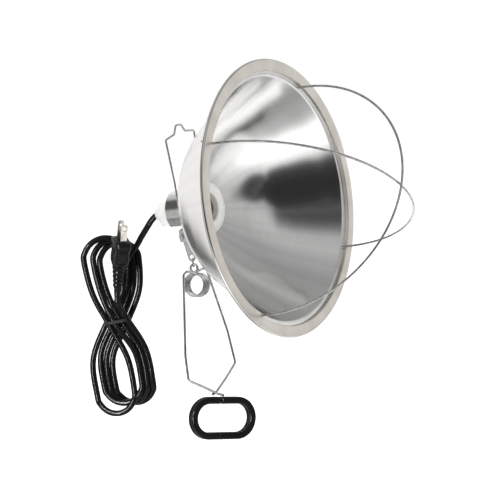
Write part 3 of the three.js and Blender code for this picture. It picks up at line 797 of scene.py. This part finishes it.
# How bright the mirrored room is at each height in degrees, then its zones: azimuth from the camera's side,
# height, the radii where each zone is full and gone, and its factor on the light. A factor below 1 darkens and
# one above 1 brightens, and where dark zones overlap the darkest one holds.
ROOM_SHADES = ((-90, 0.36), (-76, 0.38), (-66, 0.6), (-57, 1.3), (-42, 1.4), (-31, 0.8), (-16, 0.5), (0, 0.5),
               (30, 0.54), (60, 0.47), (90, 0.42))
ROOM_ZONES = ((7, -8, 19, 26, 0.055), (-4, 14, 12, 33, 0.12), (33, -12, 11, 18, 0.09), (100, 40, 20, 60, 0.7),
              (110, -40, 20, 45, 0.65), (-152, 10, 30, 60, 1.8), (-148, -11, 4, 14, 0.2),
              (113, -5, 15, 38, 1.85), (-76, 34, 14, 30, 0.2), (-88, -42, 12, 26, 0.25))
TOWARD = Vector((TO_CAMERA.x, TO_CAMERA.y, 0)).normalized()
LEVEL = Vector((0, 0, 1)).cross(TOWARD)
MIDDLE = FIXTURE @ Vector((0, 40, 0))


def stage_card(name, centre, normal, size, color, glow=0.0):
    """A flat card that faces along normal."""
    mesh = bpy.data.meshes.new(name)
    w, h = size[0] / 2, size[1] / 2
    mesh.from_pydata([(-w, -h, 0), (w, -h, 0), (w, h, 0), (-w, h, 0)], [], [(0, 1, 2, 3)])
    card = bpy.data.objects.new(name, mesh)
    bpy.context.scene.collection.objects.link(card)
    turn = Vector(normal).to_track_quat("Z", "Y").to_matrix().to_4x4()
    card.matrix_world = Matrix.Translation(centre) @ turn
    material = new_material(name, color, 0.9)
    shader = material.node_tree.nodes["Principled BSDF"]
    shader.inputs["Emission Color"].default_value = (1, 1, 1, 1)
    shader.inputs["Emission Strength"].default_value = glow
    mesh.materials.append(material)
    return card


def soft_light(name, place, target, size, power):
    data = bpy.data.lights.new(name, "AREA")
    data.shape = "RECTANGLE"
    data.size, data.size_y = size
    data.energy = power
    light = bpy.data.objects.new(name, data)
    bpy.context.scene.collection.objects.link(light)
    direction = Vector(target) - Vector(place)
    light.matrix_world = Matrix.Translation(place) @ direction.to_track_quat("-Z", "Y").to_matrix().to_4x4()
    return light


def room_direction(azimuth, elevation):
    """The direction at a turn from the camera's side toward the picture's right and at a height, in degrees."""
    turn, lift = math.radians(azimuth), math.radians(elevation)
    along_floor = math.cos(turn) * TOWARD + math.sin(turn) * LEVEL
    return math.cos(lift) * along_floor + Vector((0, 0, math.sin(lift)))


def make_world():
    """White behind the object. What the metal mirrors is a room with a bright floor and soft zones."""
    world = bpy.data.worlds.new("studio")
    world.use_nodes = True
    tree = world.node_tree
    direction = tree.nodes.new("ShaderNodeTexCoord")
    split = tree.nodes.new("ShaderNodeSeparateXYZ")
    height = tree.nodes.new("ShaderNodeMapRange")
    height.inputs["From Min"].default_value = -1
    shades = tree.nodes.new("ShaderNodeValToRGB")
    elements = shades.color_ramp.elements
    while len(elements) < len(ROOM_SHADES):
        elements.new(0.5)
    for element, (elevation, grey) in zip(elements, ROOM_SHADES):
        element.position = (math.sin(math.radians(elevation)) + 1) / 2
        element.color = (grey, grey, grey, 1)
    tree.links.new(direction.outputs["Generated"], split.inputs[0])
    tree.links.new(split.outputs["Z"], height.inputs["Value"])
    tree.links.new(height.outputs["Result"], shades.inputs["Fac"])

    def scaled(vector, scale):
        product = tree.nodes.new("ShaderNodeVectorMath")
        product.operation = "SCALE"
        tree.links.new(vector, product.inputs[0])
        tree.links.new(scale, product.inputs["Scale"])
        return product.outputs["Vector"]

    color = shades.outputs["Color"]
    dimming = None
    for azimuth, elevation, inner, outer, factor in ROOM_ZONES:
        nearness = tree.nodes.new("ShaderNodeVectorMath")
        nearness.operation = "DOT_PRODUCT"
        nearness.inputs[1].default_value = room_direction(azimuth, elevation)
        zone = tree.nodes.new("ShaderNodeMapRange")
        zone.interpolation_type = "SMOOTHSTEP"
        zone.inputs["From Min"].default_value = math.cos(math.radians(outer))
        zone.inputs["From Max"].default_value = math.cos(math.radians(inner))
        zone.inputs["To Min"].default_value = 1
        zone.inputs["To Max"].default_value = factor
        tree.links.new(direction.outputs["Generated"], nearness.inputs[0])
        tree.links.new(nearness.outputs["Value"], zone.inputs["Value"])
        if factor > 1:
            color = scaled(color, zone.outputs["Result"])
        else:
            darkest = tree.nodes.new("ShaderNodeMath")
            darkest.operation = "MINIMUM"
            darkest.inputs[0].default_value = 1
            if dimming:
                tree.links.new(dimming, darkest.inputs[0])
            tree.links.new(zone.outputs["Result"], darkest.inputs[1])
            dimming = darkest.outputs["Value"]
    color = scaled(color, dimming)
    room = tree.nodes["Background"]
    tree.links.new(color, room.inputs["Color"])
    backdrop = tree.nodes.new("ShaderNodeBackground")
    backdrop.inputs["Color"].default_value = (1, 1, 1, 1)
    rays = tree.nodes.new("ShaderNodeLightPath")
    choice = tree.nodes.new("ShaderNodeMixShader")
    tree.links.new(rays.outputs["Is Camera Ray"], choice.inputs["Fac"])
    tree.links.new(room.outputs["Background"], choice.inputs[1])
    tree.links.new(backdrop.outputs["Background"], choice.inputs[2])
    tree.links.new(choice.outputs["Shader"], tree.nodes["World Output"].inputs["Surface"])
    bpy.context.scene.world = world


def make_studio():
    make_world()
    bpy.context.scene.view_settings.view_transform = "Standard"
    floor = stage_card("floor", (0, 0, FLOOR_Z), (0, 0, 1), (16, 16), (0.8, 0.8, 0.8), glow=0.72)
    floor.visible_glossy = False
    up = Vector((0, 0, 1))
    top = soft_light("top_light", MIDDLE + TOWARD * 0.6 + up * 2.2, MIDDLE, (2.4, 2.4), 55)
    top.visible_glossy = False
    beside = MIDDLE + TOWARD * 1.5 - LEVEL * 1.1 + up * 0.3
    glint = soft_light("glint_light", beside, MIDDLE, (0.14, 1.9), 130)
    dark_pieces = bpy.data.collections.new("dark_pieces")
    for piece in DARK_PIECES:
        dark_pieces.objects.link(piece)
    glint.light_linking.receiver_collection = dark_pieces


make_studio()

bpy.context.view_layer.update()
